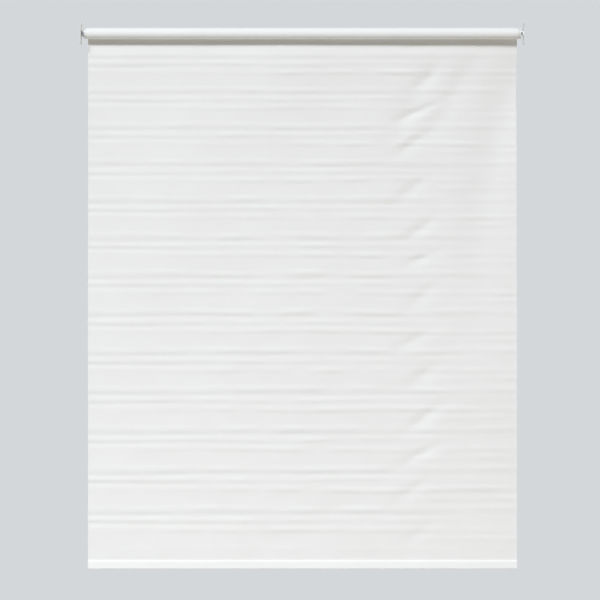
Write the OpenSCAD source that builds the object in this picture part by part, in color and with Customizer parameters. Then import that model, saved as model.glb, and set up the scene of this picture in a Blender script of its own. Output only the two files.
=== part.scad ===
// Spring roller shade: a vinyl cloth on a sprung tube that hangs between two brackets.
// X runs along the roller from the left mounting face, +Y points to the window, Z is up.
// The cloth leaves the roll at the window side and hangs to a hem with a slat in it.

/* [Opening and cloth] */
// Distance between the two mounting faces
opening_w = 946; // [500:1:1500]
// Roller axis to the bottom edge of the hem
drop = 1144; // [600:1:1800]
// Mounting face to the edge of the cloth
cloth_inset = 14; // [11:0.5:40]
// Thickness of the cloth
cloth_t = 0.14; // [0.1:0.01:0.3]
// Air between two turns on the roll
layer_gap = 0.015; // [0.01:0.005:0.05]
// Turns of cloth left on the tube
wound_turns = 4.5; // [2:0.5:12]
// Height of the ripples that the roll has pressed into the cloth
ripple_h = 0.4; // [0.05:0.05:0.8]
// Length over which the ripples fade out at the roll and at the hem
ripple_fade = 40; // [10:1:80]
// Spacing of the points along the rippled profile
ripple_step = 3.2; // [2:0.1:6]

/* [Hem] */
// Height of the hem
hem_h = 21.5; // [19:0.5:40]
// Height of the slat
slat_h = 17; // [12:0.5:17.5]
// Thickness of the slat
slat_t = 3; // [2:0.1:5]
// Edge of the cloth to the end of the slat
slat_inset = 6; // [2:0.5:20]
// Height of the welded seam at the top of the hem
weld_h = 2; // [1:0.1:3]

/* [Roller tube] */
// Outside diameter of the tube
tube_od = 22.2; // [22:0.1:38]
// Wall of the tube
tube_wall = 0.6; // [0.4:0.05:1]
// Sheet of the pressed end caps
cap_t = 1; // [0.6:0.1:1.4]
// How far a cap's rim stands out past the tube
cap_lip = 0.6; // [0.4:0.1:2]
// Length of a cap's skirt inside the tube
skirt_l = 12; // [8:0.5:20]

/* [Spear and ratchet] */
// Thickness of the spear's blade
blade_t = 2.2; // [1.6:0.1:3]
// Width of the spear's blade
blade_w = 6; // [5:0.1:6.6]
// Length of the tang in the rod
tang_l = 20; // [12:1:30]
// Teeth on the ratchet
tooth_count = 4; // [2:2:4]
// Height of a ratchet tooth
tooth_h = 1.3; // [1:0.1:1.6]
// Metal between the blade and the foot of a tooth
ratchet_web = 0.7; // [0.5:0.1:1]
// Thickness of the pawls and the ratchet
pawl_t = 1.6; // [1.2:0.1:2.5]
// Radius of a pawl's eye
eye_r = 2.2; // [1.8:0.1:2.4]
// Diameter of the rivets that the pawls swing on
rivet_d = 2.4; // [1.8:0.1:2.8]
// Width of a pawl's nose
nose_w = 1.7; // [1.2:0.1:2]
// Length of the bush in the spring end's cap
bush_l = 6; // [4:0.5:10]
// Wall of that bush
bush_wall = 1.4; // [1:0.1:1.6]

/* [Spring motor] */
// Diameter of the spring wire
wire_d = 1.4; // [0.8:0.1:1.6]
// Turns of the spring
spring_turns = 36; // [20:1:44]
// Distance from one turn of the spring to the next
spring_pitch = 6.5; // [3:0.1:10]
// Wood around the tang in the rod
rod_wall = 1.6; // [1.2:0.1:1.8]
// Wall of the ferrule on the rod
ferrule_wall = 1; // [0.6:0.1:1.2]
// Length of the ferrule and of the plug's spigot under the spring
seat_l = 16; // [10:0.5:24]
// Length of the plug that holds the spring's far end
plug_l = 24; // [16:1:40]
// Diameter of the brads through the tube
brad_d = 1.8; // [1.2:0.1:2.4]

/* [Pin end] */
// Diameter of the gudgeon pin
pin_d = 4.8; // [4:0.1:8]
// Length of the plug that holds the pin
pin_plug_l = 26; // [16:1:40]

/* [Brackets] */
// Sheet of the brackets
plate_t = 1.2; // [0.8:0.1:1.6]
// Height of a bracket's plate
plate_h = 46; // [42:1:70]
// Width of a bracket's plate
plate_w = 24; // [22:1:40]
// Corner radius of a bracket's plate
plate_corner_r = 4; // [2:0.5:8]
// Height of the drawn boss above the mounting face
boss_h = 4.2; // [3.4:0.1:6]
// Radius of the boss at its crown
boss_r = 5.6; // [4.8:0.1:6]
// Slope of the boss's wall, as its run out at the foot
boss_flare = 1.4; // [0.5:0.1:2]
// Rounded edge of the boss's crown
boss_edge_r = 1.8; // [1.7:0.1:2]
// Distance between a bracket's screw holes
screw_pitch = 32; // [28:1:34]
// Diameter of a screw hole
screw_d = 4; // [3:0.1:5]
// Depth of the countersink round a screw hole
sink_h = 0.5; // [0.3:0.1:0.7]

/* [Hidden] */
$fn = 72;

// Clearances
run_gap = 0.06;
fit_gap = 0.03;
float_gap = 0.1;
side_gap = 0.4;
hem_gap = 0.3;
slat_gap = 0.2;
coil_gap = 0.2;
cut = 1;

// Colours
enamel = "#f3f3ee";
zinc = "#b6b9bd";
steel = "#8f9499";
timber = "#c8a06c";
vinyl = "#eceeee";
hem_white = "#fafaf7";

// Stack along X at each end, counted from the mounting face
spear_tip_x = plate_t + side_gap;
rivet_head_t = 0.7;
rivet_head_x = boss_h + side_gap;
pawl_x = rivet_head_x + rivet_head_t + float_gap;
cap_x = pawl_x + pawl_t + side_gap;
tube_x = cap_x + cap_t;
bush_end_x = cap_x + bush_l;
rod_x = bush_end_x + side_gap;

// Spear and ratchet, outwards from the blade
blade_corner_r = norm([blade_t, blade_w]) / 2;
journal_wall = 0.3;
journal_r = blade_corner_r + journal_wall;
bush_r = journal_r + run_gap + bush_wall;
bush_collar_w = 1.2;
bush_collar_t = 1;
ratchet_floor_r = blade_corner_r + ratchet_web;
ratchet_tip_r = ratchet_floor_r + tooth_h;
ramp_steps = 8;

// Pawls, hinged on the cap's face and drawn clear of the ratchet
pawl_lift = 0.4;
pawl_in_r = ratchet_tip_r + pawl_lift;
pawl_pitch_r = pawl_in_r + eye_r;
pawl_angle = 30;
nose_angle = 54;
nose_lead_angle = 6;
pawl_steps = 9;
rivet_head_share = 1.4;
rivet_head_r = rivet_head_share * rivet_d / 2;

// Spring motor, outwards from the tang
rod_r = blade_corner_r + rod_wall;
seat_r = rod_r + fit_gap + ferrule_wall;
wire_sides = 5;
turn_segments = 12;
coil_r = (seat_r + coil_gap + wire_d / 2) / cos(180 / turn_segments);
spring_x = rod_x + wire_d;
spring_l = spring_turns * spring_pitch;
plug_x = spring_x + spring_l + wire_d / 2 + side_gap;
rod_end_x = plug_x + plug_l / 2;
brad_place_share = 0.75;
brad_x = plug_x + brad_place_share * plug_l;

// Roller
tube_r = tube_od / 2;
tube_in_r = tube_r - tube_wall;
skirt_r = tube_in_r - fit_gap;
cap_r = tube_r + cap_lip;
tube_l = opening_w - 2 * tube_x;
pin_r = pin_d / 2;
pin_tip_h = pin_r / 2;
pin_tip_x = plate_t + side_gap;
pin_plug_x = tube_x + skirt_l + fit_gap;

// Cloth: the roll's pitch sets its radius and where the ripples fall
layer_pitch = cloth_t + layer_gap;
roll_facets = 60;
roll_r = tube_r / cos(180 / roll_facets) + layer_gap + wound_turns * layer_pitch;
cloth_w = opening_w - 2 * cloth_inset;
panel_l = drop - hem_h;
// Four ridges to a turn: where each falls in the turn, how strong and how wide it is
ridge_turn_shares = [0.57, 0.82, 0.06, 0.3];
ridge_height_shares = [1, 0.9, 0.75, 0.25];
ridge_width_share = 0.12;

// Hem
hem_y = roll_r + cloth_t / 2;
hem_half_t = slat_t / 2 + slat_gap + cloth_t;
hem_shoulder_h = cloth_t + 2 * slat_gap + slat_h;

// Shapes along the roller
module disc_x(x, l, r) {
    translate([x, 0, 0]) rotate([0, 90, 0]) cylinder(h = l, r = r);
}

module cone_x(x, l, r_start, r_end) {
    translate([x, 0, 0]) rotate([0, 90, 0]) cylinder(h = l, r1 = r_start, r2 = r_end);
}

module extrude_x(x, l) {
    translate([x, 0, 0]) rotate([90, 0, 90]) linear_extrude(l) children();
}

module blade_x(x, l, gap = 0) {
    extrude_x(x, l) square([blade_t + 2 * gap, blade_w + 2 * gap], center = true);
}

// The pin end mirrors the spring end
module at_pin_end() {
    translate([opening_w, 0, 0]) mirror([1, 0, 0]) children();
}

function polar(r, a) = [r * cos(a), r * sin(a)];
function arc(c, r, a_start, a_end, n) = [for (i = [0:n]) c + polar(r, a_start + (a_end - a_start) * i / n)];

// Brackets
module plate_outline() {
    y = plate_w / 2 - plate_corner_r;
    z = plate_h / 2 - plate_corner_r;
    square([plate_w, 2 * z], center = true);
    square([2 * y, plate_h], center = true);
    for (i = [-1, 1], j = [-1, 1]) translate([i * y, j * z]) circle(plate_corner_r);
}

// Drawn boss as a solid of revolution, stepped in from the outside by the inset
module boss_form(inset) {
    edge_r = boss_edge_r - inset;
    crown = arc([boss_r - boss_edge_r, boss_h - boss_edge_r], edge_r, 0, 90, 6);
    foot = [boss_r + boss_flare - inset, 0];
    rotate([0, 90, 0]) rotate_extrude() polygon(concat([[0, 0], foot], crown, [[0, boss_h - inset]]));
}

module bracket() {
    difference() {
        union() {
            extrude_x(0, plate_t) plate_outline();
            boss_form(0);
        }
        boss_form(plate_t);
        for (side = [-1, 1]) translate([0, 0, side * screw_pitch / 2]) {
            disc_x(-cut, plate_t + 2 * cut, screw_d / 2);
            cone_x(plate_t - sink_h, sink_h, screw_d / 2, screw_d / 2 + sink_h);
        }
    }
}

module slot_bracket() {
    slot_w = blade_t + 2 * float_gap;
    slot_foot_z = -blade_w / 2 - fit_gap;
    color(enamel) difference() {
        bracket();
        translate([plate_t, -slot_w / 2, slot_foot_z]) cube([boss_h, slot_w, plate_h / 2 - slot_foot_z]);
    }
}

module pin_bracket() {
    color(enamel) at_pin_end() difference() {
        bracket();
        disc_x(0, boss_h + cut, pin_r + run_gap);
    }
}

// Spear, ratchet and pawls
module spear() {
    color(zinc) {
        blade_x(spear_tip_x, rod_x + tang_l - spear_tip_x);
        disc_x(pawl_x + pawl_t, rod_x - pawl_x - pawl_t, journal_r);
    }
}

// Each tooth steps up against the winding direction and falls away behind the step
module ratchet_outline() {
    tooth_angle = 360 / tooth_count;
    step_angle = pawl_angle + nose_angle + nose_lead_angle;
    polygon([
        for (k = [0:tooth_count - 1], i = [0:ramp_steps])
            polar(ratchet_tip_r - tooth_h * i / ramp_steps, step_angle + tooth_angle * (k + i / ramp_steps))
    ]);
}

module ratchet_wheel() {
    color(steel) difference() {
        extrude_x(pawl_x, pawl_t) ratchet_outline();
        blade_x(pawl_x - cut, pawl_t + 2 * cut, fit_gap);
    }
}

// Round the eye, out along the back to the nose, and home along the edge that faces the ratchet
module pawl_outline() {
    heel_w = 2 * eye_r;
    polygon(concat(
        arc([pawl_pitch_r, 0], eye_r, 180, 360, 2 * pawl_steps),
        [for (i = [1:pawl_steps]) polar(
            pawl_in_r + heel_w + (nose_w - heel_w) * i / pawl_steps,
            nose_angle * i / pawl_steps)],
        [for (i = [pawl_steps:-1:1]) polar(pawl_in_r, nose_angle * i / pawl_steps)]
    ));
}

module pawl(turn) {
    color(steel) rotate([pawl_angle + turn, 0, 0]) difference() {
        extrude_x(pawl_x, pawl_t) pawl_outline();
        translate([0, pawl_pitch_r, 0]) disc_x(pawl_x - cut, pawl_t + 2 * cut, rivet_d / 2 + run_gap);
    }
}

module pawl_a() {
    pawl(0);
}

module pawl_b() {
    pawl(180);
}

module pawl_rivets() {
    color(zinc) for (turn = [0, 180]) rotate([pawl_angle + turn, 0, 0]) translate([0, pawl_pitch_r, 0]) {
        cone_x(rivet_head_x, rivet_head_t, rivet_head_r - rivet_head_t / 2, rivet_head_r);
        disc_x(rivet_head_x, tube_x - rivet_head_x, rivet_d / 2);
    }
}

// Spring motor
module rod_ferrule() {
    color(zinc) difference() {
        disc_x(rod_x, seat_l, seat_r);
        disc_x(rod_x - cut, seat_l + 2 * cut, rod_r + fit_gap);
    }
}

module spindle_rod() {
    color(timber) difference() {
        disc_x(rod_x, rod_end_x - rod_x, rod_r);
        blade_x(rod_x - cut, tang_l + cut + fit_gap, fit_gap);
    }
}

function wire_ring(i) = [
    for (j = [0:wire_sides - 1])
        let (
            a = 360 * i / turn_segments,
            b = 360 * j / wire_sides,
            r = coil_r + wire_d / 2 * cos(b)
        )
        [spring_x + spring_pitch * i / turn_segments + wire_d / 2 * sin(b), r * cos(a), r * sin(a)]
];

module winding_spring() {
    last = spring_turns * turn_segments;
    points = [for (i = [0:last]) each wire_ring(i)];
    sides = [
        for (i = [0:last - 1], j = [0:wire_sides - 1])
            let (k = (j + 1) % wire_sides, a = i * wire_sides, b = a + wire_sides)
            each [[a + j, a + k, b + k], [a + j, b + k, b + j]]
    ];
    start = [for (j = [wire_sides - 1:-1:0]) j];
    end = [for (j = [0:wire_sides - 1]) last * wire_sides + j];
    color(steel) polyhedron(points, concat([start], sides, [end]));
}

module spring_plug() {
    spigot_x = plug_x - seat_l;
    color(timber) difference() {
        union() {
            disc_x(spigot_x, seat_l + plug_l, seat_r);
            disc_x(plug_x, plug_l, skirt_r);
        }
        disc_x(spigot_x - cut, rod_end_x - spigot_x + side_gap + cut, rod_r + run_gap);
        brads(brad_d / 2 + fit_gap, seat_r - fit_gap, tube_r);
    }
}

// Two brads across the tube, driven into the plug from opposite sides
module brads(r, foot_r, head_r) {
    for (side = [0, 180]) rotate([side, 0, 0]) translate([brad_x, 0, foot_r]) cylinder(h = head_r - foot_r, r = r);
}

module plug_brads() {
    color(steel) intersection() {
        brads(brad_d / 2, seat_r, tube_r);
        disc_x(plug_x, plug_l, tube_r);
    }
}

// Roller
module roller_tube() {
    color(enamel) difference() {
        disc_x(tube_x, tube_l, tube_r);
        disc_x(tube_x - cut, tube_l + 2 * cut, tube_in_r);
        brads(brad_d / 2 + fit_gap, tube_in_r - cut, tube_r + cut);
    }
}

// Pressed cap: a face with a rounded rim, and a skirt that fits in the tube
module end_cap(hole_r) {
    rim_r = cap_t / 2;
    section = concat(
        [[hole_r, 0]],
        arc([cap_r - rim_r, rim_r], rim_r, -90, 90, 8),
        [[skirt_r, cap_t], [skirt_r, cap_t + skirt_l], [skirt_r - cap_t, cap_t + skirt_l]],
        [[skirt_r - cap_t, cap_t], [hole_r, cap_t]]
    );
    translate([cap_x, 0, 0]) rotate([0, 90, 0]) rotate_extrude() polygon(section);
}

module spring_end_cap() {
    color(zinc) difference() {
        end_cap(bush_r + fit_gap);
        for (turn = [0, 180]) rotate([pawl_angle + turn, 0, 0]) translate([0, pawl_pitch_r, 0]) {
            disc_x(cap_x - cut, cap_t + 2 * cut, rivet_d / 2 + fit_gap);
        }
    }
}

module spear_bush() {
    color(steel) difference() {
        union() {
            disc_x(cap_x, bush_l, bush_r);
            disc_x(tube_x, bush_collar_t, bush_r + bush_collar_w);
        }
        disc_x(cap_x - cut, bush_l + 2 * cut, journal_r + run_gap);
    }
}

module pin_end_cap() {
    color(zinc) at_pin_end() end_cap(pin_r + fit_gap);
}

module pin_plug() {
    color(timber) at_pin_end() difference() {
        disc_x(pin_plug_x, pin_plug_l, skirt_r);
        disc_x(pin_plug_x - cut, pin_plug_l + 2 * cut, pin_r + fit_gap);
    }
}

module gudgeon_pin() {
    end_x = pin_plug_x + pin_plug_l;
    color(steel) at_pin_end() {
        cone_x(pin_tip_x, pin_tip_h, pin_r - pin_tip_h, pin_r);
        disc_x(pin_tip_x + pin_tip_h, end_x - pin_tip_x - pin_tip_h, pin_r);
    }
}

// Cloth on the roll: one strip that winds inwards over the top from the window side
function wound_r(a) = roll_r - layer_pitch * a / 360;

module cloth_roll() {
    last = wound_turns * roll_facets;
    angles = [for (i = [0:last]) 360 * i / roll_facets];
    color(vinyl) extrude_x(cloth_inset, cloth_w) polygon(concat(
        [for (a = angles) polar(wound_r(a) + cloth_t, a)],
        [for (i = [last:-1:0]) polar(wound_r(angles[i]), angles[i])]
    ));
}

// Turns of the roller that have let out a given length of cloth
function turns_out(s) = let (r = roll_r + cloth_t / 2) (sqrt(r * r + s * layer_pitch / PI) - r) / layer_pitch;
function nearest(t) = t - round(t);
function ridge(t) = abs(t) < ridge_width_share ? (1 + cos(180 * t / ridge_width_share)) / 2 : 0;
function ridges(t) = [for (k = [0:3]) ridge_height_shares[k] * ridge(nearest(t - ridge_turn_shares[k]))];
function fade(s) = max(0, min(1, s / ripple_fade, (panel_l - s) / ripple_fade));
function ripple(s) = ripple_h * fade(s) * (ridges(turns_out(s)) * [1, 1, 1, 1]);

module cloth_panel() {
    length = panel_l - 2 * hem_gap;
    last = ceil(length / ripple_step);
    drops = [for (i = [0:last]) hem_gap + length * i / last];
    color(vinyl) extrude_x(cloth_inset, cloth_w) polygon(concat(
        [for (s = drops) [roll_r - ripple(s), -s]],
        [for (i = [last:-1:0]) [roll_r - ripple(drops[i]) + cloth_t, -drops[i]]]
    ));
}

// Hem: a pocket folded round the slat and welded along its top, drawn up from its lowest point
module hem_outline(inset) {
    r = hem_half_t - inset;
    neck = cloth_t - inset;
    weld_z = hem_h - weld_h;
    translate([0, hem_half_t]) circle(r);
    polygon([
        [-r, hem_half_t], [r, hem_half_t], [r, hem_shoulder_h], [neck, weld_z],
        [-neck, weld_z], [-r, hem_shoulder_h]
    ]);
}

module hem_pocket() {
    color(hem_white) extrude_x(cloth_inset, cloth_w) translate([hem_y, -drop]) {
        difference() {
            hem_outline(0);
            hem_outline(cloth_t);
        }
        translate([-cloth_t, hem_h - weld_h]) square([2 * cloth_t, weld_h]);
    }
}

module hem_slat() {
    r = slat_t / 2;
    color(timber) extrude_x(cloth_inset + slat_inset, cloth_w - 2 * slat_inset) {
        translate([hem_y, hem_half_t - drop]) {
            circle(r);
            translate([0, slat_h - slat_t]) circle(r);
            translate([-r, 0]) square([slat_t, slat_h - slat_t]);
        }
    }
}

slot_bracket();
pin_bracket();
spear();
ratchet_wheel();
rod_ferrule();
spindle_rod();
winding_spring();
roller_tube();
spring_end_cap();
spear_bush();
pawl_rivets();
pawl_a();
pawl_b();
spring_plug();
plug_brads();
pin_end_cap();
pin_plug();
gudgeon_pin();
cloth_roll();
cloth_panel();
hem_pocket();
hem_slat();
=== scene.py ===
import math

import bpy
import numpy as np
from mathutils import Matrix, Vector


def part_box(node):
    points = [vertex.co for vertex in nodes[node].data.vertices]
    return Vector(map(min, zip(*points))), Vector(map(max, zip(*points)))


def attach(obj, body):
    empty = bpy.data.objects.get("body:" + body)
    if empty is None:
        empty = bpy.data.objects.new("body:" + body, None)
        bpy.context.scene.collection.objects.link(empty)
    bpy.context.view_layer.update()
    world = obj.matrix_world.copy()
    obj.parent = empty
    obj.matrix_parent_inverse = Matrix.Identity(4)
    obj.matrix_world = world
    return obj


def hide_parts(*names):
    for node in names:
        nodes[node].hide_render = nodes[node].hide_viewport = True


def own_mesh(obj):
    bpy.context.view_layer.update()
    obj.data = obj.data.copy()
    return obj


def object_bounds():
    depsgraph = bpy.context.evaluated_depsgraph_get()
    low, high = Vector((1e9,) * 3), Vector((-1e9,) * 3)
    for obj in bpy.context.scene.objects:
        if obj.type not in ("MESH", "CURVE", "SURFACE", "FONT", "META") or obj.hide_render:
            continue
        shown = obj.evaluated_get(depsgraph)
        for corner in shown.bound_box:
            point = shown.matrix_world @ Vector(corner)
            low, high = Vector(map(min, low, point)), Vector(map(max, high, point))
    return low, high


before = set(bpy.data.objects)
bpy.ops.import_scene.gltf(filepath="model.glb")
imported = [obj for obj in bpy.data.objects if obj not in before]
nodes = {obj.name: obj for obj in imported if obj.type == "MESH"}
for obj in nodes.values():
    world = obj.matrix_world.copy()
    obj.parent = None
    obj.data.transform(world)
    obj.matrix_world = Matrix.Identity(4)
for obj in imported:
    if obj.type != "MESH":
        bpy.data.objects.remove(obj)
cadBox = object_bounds()


# Wraps a shader socket, so that maths on values reads as plain Python
class Link:
    def __init__(self, tree, socket=None):
        self.tree = tree
        self.socket = socket

    # Any node: its settings go in first, then the values or links of its sockets
    def node(self, kind, settings=None, inputs=None, output=0):
        made = self.tree.nodes.new(kind)
        for key, value in (settings or {}).items():
            if key == "stops":
                setStops(made.color_ramp, value)
            else:
                setattr(made, key, value)
        for key, value in (inputs or {}).items():
            self.plug(made.inputs[key], value)
        return Link(self.tree, made.outputs[output] if made.outputs else None)

    def plug(self, socket, value):
        if isinstance(value, Link):
            self.tree.links.new(value.socket, socket)
        else:
            socket.default_value = value

    def maths(self, operation, first, second):
        return self.node("ShaderNodeMath", {"operation": operation}, {0: first, 1: second})

    def __add__(self, other):
        return self.maths("ADD", self, other)

    def __radd__(self, other):
        return self.maths("ADD", other, self)

    def __sub__(self, other):
        return self.maths("SUBTRACT", self, other)

    def __rsub__(self, other):
        return self.maths("SUBTRACT", other, self)

    def __mul__(self, other):
        return self.maths("MULTIPLY", self, other)

    def __rmul__(self, other):
        return self.maths("MULTIPLY", other, self)


def setStops(colorRamp, stops):
    while len(colorRamp.elements) < len(stops):
        colorRamp.elements.new(1.0)
    for element, (place, level) in zip(colorRamp.elements, stops):
        element.position = place
        element.color = (level, level, level, 1.0)


def opaque(colour):
    return (*colour, 1.0)


# A new material, its Principled shader and the place on the piece, in metres
def blankMaterial(name):
    material = bpy.data.materials.new(name)
    material.use_nodes = True
    tree = material.node_tree
    shader = tree.nodes["Principled BSDF"]
    place = Link(tree).node("ShaderNodeTexCoord", output="Object")
    return material, shader, place


# Links and constants for the shader's named sockets
def wire(place, shader, values):
    for name, value in values.items():
        place.plug(shader.inputs[name], value)


# Mixes the shader with another one on its way to the material's output
def mixShaders(place, shader, other, share):
    first = Link(place.tree, shader.outputs[0])
    both = place.node("ShaderNodeMixShader", {}, {0: share, 1: first, 2: other})
    place.plug(place.tree.nodes["Material Output"].inputs["Surface"], both)


def noise(place, scale, detail=2.0, stretch=(1.0, 1.0, 1.0)):
    spot = place.node("ShaderNodeMapping", {}, {"Vector": place, "Scale": stretch})
    inputs = {"Vector": spot, "Scale": scale, "Detail": detail}
    return place.node("ShaderNodeTexNoise", {}, inputs, "Fac")


# Grey levels at places from 0 to 1
def ramp(value, *stops):
    return value.node("ShaderNodeValToRGB", {"stops": stops}, {"Fac": value})


# A mask that is 0 up to the low value and 1 from the high one
def fadeIn(value, low, high):
    return ramp(value, (low, 0.0), (high, 1.0))


def blend(mask, first, second):
    return mask.node("ShaderNodeMix", {"data_type": "RGBA"}, {0: mask, 6: first, 7: second}, 2)


def bump(height, distance, normal=None):
    inputs = {"Height": height, "Distance": distance}
    if normal:
        inputs["Normal"] = normal
    return height.node("ShaderNodeBump", {}, inputs)


# Soft normals over the sharp arrises, and a mask that is 1 on them
def arris(place, radius):
    soft = place.node("ShaderNodeBevel", {"samples": 6}, {"Radius": radius})
    sharp = place.node("ShaderNodeNewGeometry", output="Normal")
    product = {"operation": "DOT_PRODUCT"}
    match = place.node("ShaderNodeVectorMath", product, {0: soft, 1: sharp}, "Value")
    return soft, fadeIn(1 - match, low=0.01, high=0.12)


vinylLook = {
    "white": (0.945, 0.945, 0.945),
    "shade": (0.925, 0.923, 0.92),
    "through": (0.93, 0.90, 0.84),   # colour of the light that a single layer lets through
    "translucency": 0.12,
    "specular": 0.15,
    "roughness": 0.58,
    "grainRoughness": 0.10,          # what the grain adds to it
    "scuffRoughness": 0.08,          # what the scuffs take off it
    "mottle": 9.0,                   # scale of the faint clouds
    "grain": 1500.0,                 # pressed grain, about 0.7 mm
    "grainDepth": 0.00011,
    "scuff": 60.0,                   # scale of the scuffs along the roller
    "scuffHeight": 0.35,             # as a share of the grain's
}


# Matt vinyl cloth; a single layer lets some light through, a roll or hem none
def vinylMaterial(name, look, singleLayer, weld=None):
    material, shader, place = blankMaterial(name)
    clouds = noise(place, look["mottle"], detail=3.0, stretch=(1.0, 1.0, 2.6))
    mottle = fadeIn(clouds, low=0.3, high=0.7)
    grain = noise(place, look["grain"], detail=1.0)
    rubs = noise(place, look["scuff"], detail=4.0, stretch=(0.15, 1.0, 2.0))
    scuff = fadeIn(rubs, low=0.55, high=0.8)
    normal = bump(grain + look["scuffHeight"] * scuff, look["grainDepth"])
    if weld:
        normal = bump(weldRibs(place, weld), weld["depth"], normal)
    wire(place, shader, {
        "Base Color": blend(mottle, opaque(look["shade"]), opaque(look["white"])),
        "Roughness": look["roughness"] + look["grainRoughness"] * grain - look["scuffRoughness"] * scuff,
        "Specular IOR Level": look["specular"],
        "Normal": normal,
    })
    if singleLayer:
        glow = place.node("ShaderNodeBsdfTranslucent", {}, {"Color": opaque(look["through"])})
        mixShaders(place, shader, glow, look["translucency"])
    return material


# The fine ribs that the welding wheel presses into the top of the hem
def weldRibs(place, weld):
    along = place.node("ShaderNodeSeparateXYZ", {}, {0: place}, "X")
    level = place.node("ShaderNodeSeparateXYZ", {}, {0: place}, "Z")
    angle = along * (2 * math.pi / weld["pitch"])
    ribs = place.node("ShaderNodeMath", {"operation": "SINE"}, {0: angle})
    return ribs * ramp((weld["top"] - level) * (1 / weld["height"]), *weld["fade"])


enamelLook = {
    "paint": (0.85, 0.85, 0.83),
    "steel": (0.42, 0.42, 0.43),     # where the paint is worn
    "tone": 55.0,                    # scale of the paint's clouds
    "toneLow": 0.94,                 # and how dark they get
    "roughness": 0.34,
    "peelRoughness": 0.08,           # what the orange peel and the wear add to it
    "wearRoughness": 0.15,
    "peel": 700.0,
    "peelDepth": 0.00003,
    "arris": 0.0003,
    "wear": 0.55,
    "patch": 420.0,                  # scale of the worn patches
    "coat": 0.2,
    "coatRoughness": 0.2,
}


# Baked white paint with a little orange peel, rubbed thin along the arrises
def enamelMaterial(name, look):
    material, shader, place = blankMaterial(name)
    soft, edge = arris(place, look["arris"])
    patch = fadeIn(noise(place, look["patch"], detail=3.0), low=0.5, high=0.62)
    worn = edge * patch * look["wear"]
    peel = noise(place, look["peel"], detail=1.0)
    tone = ramp(noise(place, look["tone"], detail=3.0), (0.2, look["toneLow"]), (0.8, 1.0))
    multiply = {"data_type": "RGBA", "blend_type": "MULTIPLY"}
    paint = place.node("ShaderNodeMix", multiply, {0: 1.0, 6: opaque(look["paint"]), 7: tone}, 2)
    wire(place, shader, {
        "Base Color": blend(worn, paint, opaque(look["steel"])),
        "Metallic": worn,
        "Roughness": look["roughness"] + look["peelRoughness"] * peel + look["wearRoughness"] * worn,
        "Normal": bump(peel, look["peelDepth"], soft),
        "Coat Weight": look["coat"],
        "Coat Roughness": look["coatRoughness"],
    })
    return material


metalLook = {
    "rubbed": (0.78, 0.78, 0.78),    # along the arrises
    "rub": 0.6,
    "cloudRoughness": 0.16,          # what the clouds add to the roughness
    "rubRoughness": 0.10,            # what the rubbing takes off it
    "drawnDepth": 0.00001,           # fine lines along the roller
}

zincLook = {
    **metalLook,
    "bright": (0.74, 0.75, 0.77),
    "dull": (0.52, 0.54, 0.57),
    "roughness": 0.30,
    "spangle": 380.0,
    "drawn": 1520.0,
    "arris": 0.0002,
}

steelLook = {
    **metalLook,
    "bright": (0.30, 0.30, 0.31),
    "dull": (0.12, 0.12, 0.125),
    "roughness": 0.38,
    "spangle": 900.0,
    "drawn": 3600.0,
    "arris": 0.00015,
}


# Plated or blackened metal: cloudy tone, dull patches, bright rubbed arrises
def metalMaterial(name, look):
    material, shader, place = blankMaterial(name)
    soft, edge = arris(place, look["arris"])
    cloud = fadeIn(noise(place, look["spangle"], detail=3.0), low=0.3, high=0.7)
    drawn = noise(place, look["drawn"], detail=2.0, stretch=(1.0, 0.12, 0.12))
    tone = blend(cloud, opaque(look["dull"]), opaque(look["bright"]))
    wire(place, shader, {
        "Base Color": blend(edge * look["rub"], tone, opaque(look["rubbed"])),
        "Roughness": look["roughness"] + look["cloudRoughness"] * cloud - look["rubRoughness"] * edge,
        "Normal": bump(drawn, look["drawnDepth"], soft),
        "Metallic": 1.0,
    })
    return material


timberLook = {
    "early": (0.70, 0.52, 0.32),
    "late": (0.46, 0.29, 0.15),
    "rings": 420.0,                  # scales of the rings, their drift and the pores
    "drift": 22.0,
    "pores": 2100.0,
    "ringShare": 0.7,                # of the streaks, beside the drift
    "poreShare": 0.6,                # of the relief, beside the streaks
    "roughness": 0.62,
    "poreRoughness": 0.15,
    "grainDepth": 0.00012,
}


# Planed softwood with its grain along the roller
def timberMaterial(name, look):
    material, shader, place = blankMaterial(name)
    drift = noise(place, look["drift"], detail=2.0, stretch=(0.25, 1.0, 1.0))
    rings = noise(place, look["rings"], detail=1.5, stretch=(0.015, 1.0, 1.0))
    pores = noise(place, look["pores"], detail=1.0, stretch=(0.03, 1.0, 1.0))
    mixed = rings * look["ringShare"] + drift * (1 - look["ringShare"])
    streak = fadeIn(mixed, low=0.38, high=0.62)
    relief = pores * look["poreShare"] + streak * (1 - look["poreShare"])
    wire(place, shader, {
        "Base Color": blend(streak, opaque(look["early"]), opaque(look["late"])),
        "Roughness": look["roughness"] + look["poreRoughness"] * pores,
        "Normal": bump(relief, look["grainDepth"]),
    })
    return material


materials = {
    "panel": vinylMaterial("vinylSingle", vinylLook, True),
    "vinyl": vinylMaterial("vinylDoubled", vinylLook, False),
    "enamel": enamelMaterial("whiteEnamel", enamelLook),
    "zinc": metalMaterial("zincPlate", zincLook),
    "steel": metalMaterial("blackSteel", steelLook),
    "timber": timberMaterial("softwood", timberLook),
}
print("materials:", ", ".join(materials))

finishes = {
    "enamel": ("slot_bracket", "pin_bracket", "roller_tube"),
    "zinc": ("spear", "rod_ferrule", "spring_end_cap", "pawl_rivets", "pin_end_cap"),
    "steel": (
        "ratchet_wheel", "winding_spring", "spear_bush", "pawl_a", "pawl_b", "plug_brads", "gudgeon_pin",
    ),
    "timber": ("spindle_rod", "spring_plug", "pin_plug", "hem_slat"),
}


def finishNode(node, material):
    slots = node.data.materials
    slots.clear()
    slots.append(material)


for finish, names in finishes.items():
    for name in names:
        finishNode(nodes[name], materials[finish])
print("finishes:", sum(len(names) for names in finishes.values()), "nodes dressed")

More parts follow.
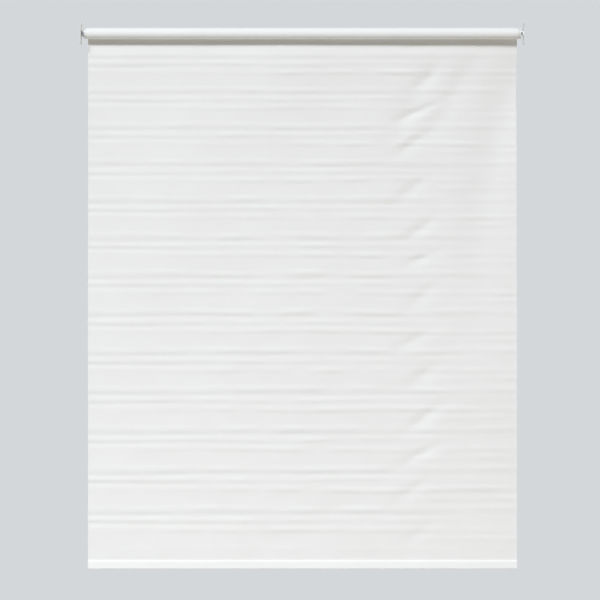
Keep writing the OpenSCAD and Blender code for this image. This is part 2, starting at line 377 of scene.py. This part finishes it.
clothLook = {
    "thickness": 0.00014,
    "pitch": 0.000155,     # from one turn on the roll to the next
    "turns": 4.5,
    "seam": 0.00005,       # hairline between the panel and what it joins
    "sharpAngle": 50.0,    # degrees between two faces that makes their edge a sharp one
}

rollLow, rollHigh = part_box("cloth_roll")
panelLow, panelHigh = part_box("cloth_panel")
hemLow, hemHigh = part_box("hem_pocket")
clothLeft, clothRight = panelLow.x, panelHigh.x
clothWidth = clothRight - clothLeft
rollRadius = rollHigh.y - clothLook["thickness"]   # inner face of the outermost turn
clothY = rollRadius + clothLook["thickness"] / 2


def addObject(name, data):
    made = bpy.data.objects.new(name, data)
    bpy.context.scene.collection.objects.link(made)
    return made


# A closed strip of cloth from the grids of points on its two faces, rows by columns
def clothPiece(name, front, back, material):
    rows, columns = front.shape[:2]
    count = rows * columns
    grid = np.arange(count).reshape(rows, columns)
    corners = [grid[:-1, :-1], grid[1:, :-1], grid[1:, 1:], grid[:-1, 1:]]
    quads = np.stack(corners, axis=-1).reshape(-1, 4)
    rim = np.concatenate([grid[0, :-1], grid[:-1, -1], grid[-1, :0:-1], grid[:0:-1, 0]])
    after = np.roll(rim, -1)
    edge = np.stack([rim, after, after + count, rim + count], axis=-1)
    points = np.concatenate([front.reshape(-1, 3), back.reshape(-1, 3)])
    faces = np.concatenate([quads, quads[:, ::-1] + count, edge])
    mesh = bpy.data.meshes.new(name)
    mesh.from_pydata(points.tolist(), [], faces.tolist())
    mesh.polygons.foreach_set("use_smooth", np.ones(len(faces), bool))
    mesh.set_sharp_from_angle(angle=math.radians(clothLook["sharpAngle"]))
    mesh.materials.append(material)
    mesh.update()
    return addObject(name, mesh)


# Both faces of a strip whose middle line is a list of (y, z) points, drawn along X
def stripFaces(middle, across):
    along = np.gradient(middle, axis=0)
    along /= np.linalg.norm(along, axis=1, keepdims=True)
    normal = np.stack([along[:, 1], -along[:, 0]], axis=1)
    faces = []
    for side in (0.5, -0.5):
        line = middle + side * clothLook["thickness"] * normal
        face = np.zeros((len(middle), len(across), 3))
        face[:, :, 0] = across
        face[:, :, 1:] = line[:, None, :]
        faces.append(face)
    return faces


def lineLength(middle):
    return float(np.linalg.norm(np.diff(middle, axis=0), axis=1).sum())


# Turns of the roller that have let out a length of cloth
def turnsOut(drop):
    pitch = clothLook["pitch"]
    return (np.sqrt(clothY ** 2 + drop * pitch / math.pi) - clothY) / pitch


# A value on the way from the first to the second of a pair
def between(pair, share):
    return pair[0] + (pair[1] - pair[0]) * share


def raisedCosine(value, halfWidth):
    return np.where(np.abs(value) < halfWidth, (1 + np.cos(math.pi * value / halfWidth)) / 2, 0.0)


# How far a number of turns is from the nearest whole one
def offWhole(turns):
    return turns - np.round(turns)


def bell(value, centre, width):
    return np.exp(-((value - centre) / width) ** 2)


def smoothStep(value):
    value = np.clip(value, 0.0, 1.0)
    return value * value * (3 - 2 * value)


# Smooth unevenness over two coordinates, from a few seeded waves; about -1 to 1
def waves(u, v, wave, shift=0, count=7):
    pitchU, pitchV, seed = wave
    draw = np.random.default_rng(seed + shift)
    spread = math.sqrt(count * 1.5)
    total = 0.0
    for _ in range(count):
        turnU, turnV, phase = draw.uniform(-1, 1), draw.uniform(-1, 1), draw.uniform(0, 2 * math.pi)
        total = total + np.sin(2 * math.pi * (u * turnU / pitchU + v * turnV / pitchV) + phase)
    return total / spread


# Across the sheet all places are shares of its width, and down it they are turns of the
# roller or metres of drop. A wave is its two pitches, across and down, and its seed.
panelLook = {
    "rows": 620,
    "columns": 78,
    "fade": 0.070,                              # ripples are flatter this near to the roll and hem
    "buckle": 0.0009,                           # broad unevenness of the whole sheet
    "buckleWave": (0.35, 0.45, 41),
    "ridges": {                                 # print-through from the roll
        "height": 0.00102,
        "growth": (0.75, 1.25),                 # share of it at the top and at the foot
        "stations": (0.10, 0.35, 0.70, 0.95),
        "lines": (                              # place in the turn, half width, strength at the stations
            (0.565, 0.13, (0.6, 0.85, 0.75, 0.5)),
            (0.705, 0.10, (-0.65, -0.35, -0.4, -0.1)),
            (0.825, 0.10, (0.4, 0.7, 0.3, 0.0)),
            (0.935, 0.10, (-0.7, 0.0, 0.0, 0.0)),
            (0.065, 0.12, (0.2, 0.7, 0.85, 0.5)),
            (0.285, 0.11, (0.0, 0.0, 0.05, 0.45)),
        ),
        "wander": 0.022,                        # how far a ridge strays up and down
        "wanderWave": (0.3, 3.0, 21),
        "breaks": (0.3, 0.75),                  # how broken the ridges are, at two places
        "breaksAt": (0.1, 0.5),
        "breaksWave": (0.11, 2.0, 11),
    },
    "creases": {                                # slanting, right of the middle
        "depth": 0.0029,
        "growth": (1.2, 0.7),                   # share of it at the top and at the foot
        "at": 0.77,
        "span": 0.034,
        "turn": 0.20,                           # place in the turn
        "flanks": (0.17, 0.33),                 # steep above and soft below
        "slope": 7.5,                           # turns to the whole width
        "stray": 0.018,                         # how far they differ from turn to turn
        "strayWave": (1.0, 1.6, 32),            # its pitch across has no effect
        "bend": 0.12,                           # how far one strays from a straight line
        "bendWave": (0.4, 2.0, 31),
        "uneven": 0.4,                          # how much the depth varies
        "unevenWave": (0.3, 1.8, 33),
    },
    "drags": {                                  # soft lines below the top right corner
        "depth": 0.0018,
        "lines": ((0.84, 0.56), (0.93, 0.60)),  # place at the top, and run to the left per metre
        "width": 0.020,
        "middle": 0.15,                         # drop at which they are deepest
        "reach": 0.11,
    },
    "hollow": {                                 # slack below the roll, deepest at the right
        "depth": 0.0070,
        "least": 0.4,                           # share of it at the left
        "rise": (0.35, 0.95),                   # where it deepens
        "middle": 0.12,
        "reach": (0.085, 0.30),                 # above and below the middle
    },
    "fold": {                                   # runs down out of the hollow
        "depth": 0.0039,
        "at": 0.875,
        "lean": 0.17,                           # how much further right it starts
        "leanDrop": 0.28,
        "width": 0.045,
        "middle": 0.20,
        "reach": 0.30,
    },
    "slackStart": 0.03,                         # drop over which the hollow and fold set in
}


# Ridges and grooves that come back once a turn
def ridgeRelief(across, drop, look):
    turn = turnsOut(drop)
    broken = np.interp(across, look["breaksAt"], look["breaks"])
    total = 0.0
    for k, (share, halfWidth, strengths) in enumerate(look["lines"]):
        strength = np.interp(across, look["stations"], strengths)
        patch = 1 + broken * waves(across, turn, look["breaksWave"], k)
        stray = look["wander"] * waves(across, turn, look["wanderWave"], k)
        total = total + strength * patch * raisedCosine(offWhole(turn - share + stray), halfWidth)
    return look["height"] * between(look["growth"], drop / drop.max()) * total


# Short slanting creases, one to a turn
def creaseDepth(across, drop, look):
    turn = turnsOut(drop)
    centre = look["at"] + look["stray"] * waves(0.0, turn, look["strayWave"])
    slant = turn - look["turn"] + look["slope"] * (across - centre)
    slant = slant + look["bend"] * waves(across, turn, look["bendWave"])
    offset = offWhole(slant)
    above, below = look["flanks"]
    flank = np.where(offset < 0, above, below)
    crease = raisedCosine(offset, flank) * bell(across, centre, look["span"])
    crease = crease * (1 + look["uneven"] * waves(across, turn, look["unevenWave"]))
    return look["depth"] * crease * between(look["growth"], drop / drop.max())


def dragDepth(across, drop, look):
    total = 0.0
    for start, run in look["lines"]:
        total = total + bell(across + run * drop, start, look["width"])
    return look["depth"] * total * bell(drop, look["middle"], look["reach"])


def hollowDepth(across, drop, look):
    left, right = look["rise"]
    slack = look["least"] + (1 - look["least"]) * smoothStep((across - left) / (right - left))
    above, below = look["reach"]
    reach = np.where(drop < look["middle"], above, below)
    return look["depth"] * slack * bell(drop, look["middle"], reach)


def foldDepth(across, drop, look):
    line = look["at"] + look["lean"] * np.exp(-drop / look["leanDrop"])
    return look["depth"] * bell(across, line, look["width"]) * bell(drop, look["middle"], look["reach"])


# How far the panel stands out in front at a share of its width and a drop
def panelRelief(across, drop, look):
    relief = ridgeRelief(across, drop, look["ridges"])
    relief = relief - creaseDepth(across, drop, look["creases"])
    relief = relief - dragDepth(across, drop, look["drags"])
    relief = relief + look["buckle"] * waves(across, drop, look["buckleWave"])
    relief = relief * smoothStep(drop / look["fade"])
    slack = hollowDepth(across, drop, look["hollow"]) + foldDepth(across, drop, look["fold"])
    relief = relief - slack * smoothStep(drop / look["slackStart"])
    return relief * smoothStep((drop.max() - drop) / look["fade"])


# The hanging sheet between the roll and the hem
def buildPanel(look):
    top = -clothLook["seam"]
    foot = hemHigh.z + clothLook["seam"]
    drops = np.linspace(-top, -foot, look["rows"])
    shares = np.linspace(0.0, 1.0, look["columns"])
    across, drop = np.meshgrid(shares, drops)
    middle = clothY - panelRelief(across, drop, look)
    half = clothLook["thickness"] / 2
    faces = []
    for side in (-1, 1):
        faces.append(np.stack([clothLeft + clothWidth * across, middle + side * half, -drop], axis=-1))
    piece = clothPiece("clothPanel", faces[0], faces[1], materials["panel"])
    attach(piece, "brackets")
    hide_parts("cloth_panel")
    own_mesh(piece)
    return piece


rollLook = {
    "stepsPerTurn": 96,
    "columns": 60,
    "edgeStray": 0.0002,           # the turns don't lie quite flush at the ends
    "edgeWave": (3.0, 1.0, 5),     # pitch in turns, a second pitch without effect, seed
}


# The turns left on the tube, wound inwards over the top from the back
def buildRoll(look):
    steps = int(clothLook["turns"] * look["stepsPerTurn"])
    turn = np.linspace(0.0, clothLook["turns"], steps + 1)
    angle = 2 * math.pi * turn
    radius = clothY - clothLook["pitch"] * turn
    middle = np.stack([radius * np.cos(angle), radius * np.sin(angle)], axis=1)
    across = np.linspace(clothLeft, clothRight, look["columns"])
    faces = stripFaces(middle, across)
    stray = look["edgeStray"] * waves(turn, 0.0, look["edgeWave"])
    for face in faces:
        face[:, 0, 0] += stray
        face[:, -1, 0] += stray
    piece = clothPiece("clothRoll", faces[0], faces[1], materials["vinyl"])
    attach(piece, "roller")
    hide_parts("cloth_roll")
    return piece, lineLength(middle)


hemLook = {
    "columns": 140,
    "weld": 0.002,                 # height of the welded seam
    "weldGap": 0.00001,            # between its two layers
    "ribPitch": 0.0013,            # ribs pressed into it
    "ribDepth": 0.00008,
    "ribFade": ((0.1, 0.0), (0.3, 1.0), (0.8, 1.0), (1.0, 0.0)),   # strength from its top to its foot
    "shoulder": 0.004,             # from the seam to the full width of the pocket
    "sideSteps": 10,
    "bottomSteps": 14,
    "slack": 0.00012,              # unevenness of the pocket's faces
    "slackAt": 0.42,               # share of the height at which it is strongest
    "slackReach": 0.25,
    "slackWave": (0.15, 2.0, 3),   # pitch in shares of the width and of the height, seed
}


# Half of the hem's line, from its top down to the bottom of the pocket
def hemLine(look):
    half = (hemHigh.y - hemLow.y - clothLook["thickness"]) / 2
    seam = (clothLook["thickness"] + look["weldGap"]) / 2
    top = hemHigh.z
    neck = top - look["weld"]
    shoulder = neck - look["shoulder"]
    centre = hemLow.z + clothLook["thickness"] / 2 + half
    down = [(seam, top), (seam, (top + neck) / 2), (seam, neck)]
    for i in range(1, look["sideSteps"] + 1):
        t = i / look["sideSteps"]
        width = seam + (half - seam) * float(t + smoothStep(t)) / 2
        down.append((width, neck + (shoulder - neck) * t))
    for i in range(1, look["sideSteps"] + 1):
        down.append((half, shoulder + (centre - shoulder) * i / look["sideSteps"]))
    for i in range(1, look["bottomSteps"] + 1):
        a = math.pi / 2 * i / look["bottomSteps"]
        down.append((half * math.cos(a), centre - half * math.sin(a)))
    return down


# The pocket folded round the slat and welded along its top
def buildHem(look):
    front = [(clothY - y, z) for y, z in hemLine(look)]
    rear = [(clothY + y, z) for y, z in hemLine(look)]
    middle = np.array(front + rear[-2::-1])
    across = np.linspace(clothLeft, clothRight, look["columns"])
    faces = stripFaces(middle, across)
    height = hemHigh.z - hemLow.z
    for face in faces:
        level = (face[:, :, 2] - hemLow.z) / height
        share = (face[:, :, 0] - clothLeft) / clothWidth
        side = np.sign(face[:, :, 1] - clothY)
        body = bell(level, look["slackAt"], look["slackReach"])
        face[:, :, 1] += side * look["slack"] * body * waves(share, level, look["slackWave"])
    weld = {
        "top": hemHigh.z,
        "height": look["weld"],
        "pitch": look["ribPitch"],
        "depth": look["ribDepth"],
        "fade": look["ribFade"],
    }
    material = vinylMaterial("vinylHem", vinylLook, False, weld)
    piece = clothPiece("hemPocket", faces[0], faces[1], material)
    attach(piece, "hem")
    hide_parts("hem_pocket")
    return piece, lineLength(middle)


panel = buildPanel(panelLook)
roll, rollLength = buildRoll(rollLook)
hem, hemLength = buildHem(hemLook)
print("cloth: panel, roll of", round(rollLength, 4), "m and hem of", round(hemLength, 4), "m")


photoMarks = {
    "frame": 600.0,        # width of the picture, in pixels
    "leftFace": 81.5,      # the two mounting faces
    "rightFace": 523.5,
    "axisRow": 34.4,       # the roller's axis, read at the cloth
    "distance": 3.6,       # from the cloth, in metres
    "sensor": 36.0,        # width of the camera's sensor, in millimetres
}


# The picture's own view: level, square on, a little off the middle
def placeCamera(marks):
    width = cadBox[1].x - cadBox[0].x
    pixel = width / (marks["rightFace"] - marks["leftFace"])
    camera = bpy.data.cameras.new("photoCamera")
    camera.sensor_width = marks["sensor"]
    camera.lens = camera.sensor_width * marks["distance"] / (marks["frame"] * pixel)
    eye = addObject("photoCamera", camera)
    eye.location = (
        cadBox[0].x + (marks["frame"] / 2 - marks["leftFace"]) * pixel,
        clothY - marks["distance"],
        (marks["axisRow"] - marks["frame"] / 2) * pixel,
    )
    eye.rotation_euler = (math.pi / 2, 0.0, 0.0)
    bpy.context.scene.camera = eye


stageLook = {
    "floorZ": -2.1,
    "floorRadius": 5.0,
    "floorRings": 24,
    "floorSectors": 72,
    "floorThins": (0.45, 0.98),     # shares of the radius
    "floorRoughness": 0.8,
    "floor": (0.84, 0.83, 0.81),
    "bounce": (0.56, 0.53, 0.46),   # the floor as the light from it colours the cloth
    "backdrop": (0.66, 0.68, 0.70),
    "ambient": (0.105, 0.088, 0.056),
}


# 1 for what the camera, reflections and clear things show, 0 for the light that falls on things
def raysSeen(start):
    kinds = ("Camera", "Glossy", "Transmission")
    camera, glossy, clear = [start.node("ShaderNodeLightPath", output=f"Is {kind} Ray") for kind in kinds]
    return start.node("ShaderNodeClamp", {}, {"Value": camera + glossy + clear})


def floorMesh(look, middle):
    rings, sectors = look["floorRings"], look["floorSectors"]
    points, faces = [], []
    for i in range(rings + 1):
        for j in range(sectors):
            r, a = look["floorRadius"] * i / rings, 2 * math.pi * j / sectors
            points.append((middle[0] + r * math.cos(a), middle[1] + r * math.sin(a), middle[2]))
    for i in range(rings):
        inner, outer = i * sectors, (i + 1) * sectors
        for j in range(sectors):
            k = (j + 1) % sectors
            faces.append((inner + j, outer + j, outer + k, inner + k))
    mesh = bpy.data.meshes.new("floor")
    mesh.from_pydata(points, [], faces)
    return mesh


def floorMaterial(look, middle):
    material, shader, place = blankMaterial("paleFloor")
    wire(place, shader, {
        "Base Color": blend(raysSeen(place), opaque(look["bounce"]), opaque(look["floor"])),
        "Roughness": look["floorRoughness"],
    })
    distance = {"operation": "DISTANCE"}
    away = place.node("ShaderNodeVectorMath", distance, {0: place, 1: middle}, "Value")
    low, high = look["floorThins"]
    thin = fadeIn(away * (1 / look["floorRadius"]), low, high)
    mixShaders(place, shader, place.node("ShaderNodeBsdfTransparent"), thin)
    return material


# A round pale floor that thins out into the backdrop at its edge
def buildFloor(look):
    middle = (cadBox[1].x / 2, 0.0, look["floorZ"])
    floor = addObject("floor", floorMesh(look, middle))
    floor.data.materials.append(floorMaterial(look, middle))


# What the camera and reflections show of the backdrop, and the dimmer light it gives
def buildWorld(look):
    world = bpy.data.worlds.new("studio")
    world.use_nodes = True
    tree = world.node_tree
    tree.nodes.clear()
    start = Link(tree)
    seen = raysSeen(start)
    glow = start.node("ShaderNodeBackground", {}, {"Color": opaque(look["ambient"])})
    pale = start.node("ShaderNodeBackground", {}, {"Color": opaque(look["backdrop"])})
    both = start.node("ShaderNodeMixShader", {}, {0: seen, 1: glow, 2: pale})
    start.node("ShaderNodeOutputWorld", {}, {"Surface": both})
    bpy.context.scene.world = world


# Gloss shows only the lamps that are mirrored
lamps = {
    "key": {
        "at": (-8.0, -15.6, 11.4),
        "size": (9.0, 3.6),
        "power": 4430.0,
        "colour": (0.90, 0.94, 0.99),
        "mirrored": True,
    },
    "fill": {
        "at": (-0.1, -1.8, -1.4),
        "size": (0.8, 0.8),
        "power": 4.1,
        "colour": (0.90, 0.95, 1.0),
        "mirrored": True,
    },
    "rear": {
        "at": (2.2, 6.0, 3.2),
        "size": (2.6, 1.4),
        "power": 320.0,
        "colour": (0.94, 0.97, 1.0),
        "mirrored": False,
    },
    "side": {
        "at": (6.5, 0.4, 1.6),
        "size": (2.0, 2.0),
        "power": 110.0,
        "colour": (1.0, 0.98, 0.95),
        "mirrored": False,
    },
}


def placeLamp(name, look):
    lamp = bpy.data.lights.new(name, "AREA")
    lamp.shape = "RECTANGLE"
    lamp.size, lamp.size_y = look["size"]
    lamp.energy = look["power"]
    lamp.color = look["colour"]
    holder = addObject(name, lamp)
    holder.location = look["at"]
    aim = (cadBox[0] + cadBox[1]) / 2 - holder.location
    holder.rotation_euler = aim.to_track_quat("-Z", "Y").to_euler()
    holder.visible_camera = False
    holder.visible_glossy = look["mirrored"]


placeCamera(photoMarks)
buildFloor(stageLook)
buildWorld(stageLook)
for lampName, lampLook in lamps.items():
    placeLamp(lampName, lampLook)
bpy.context.scene.view_settings.view_transform = "Standard"
print("stage: camera, floor, world and", len(lamps), "lamps")
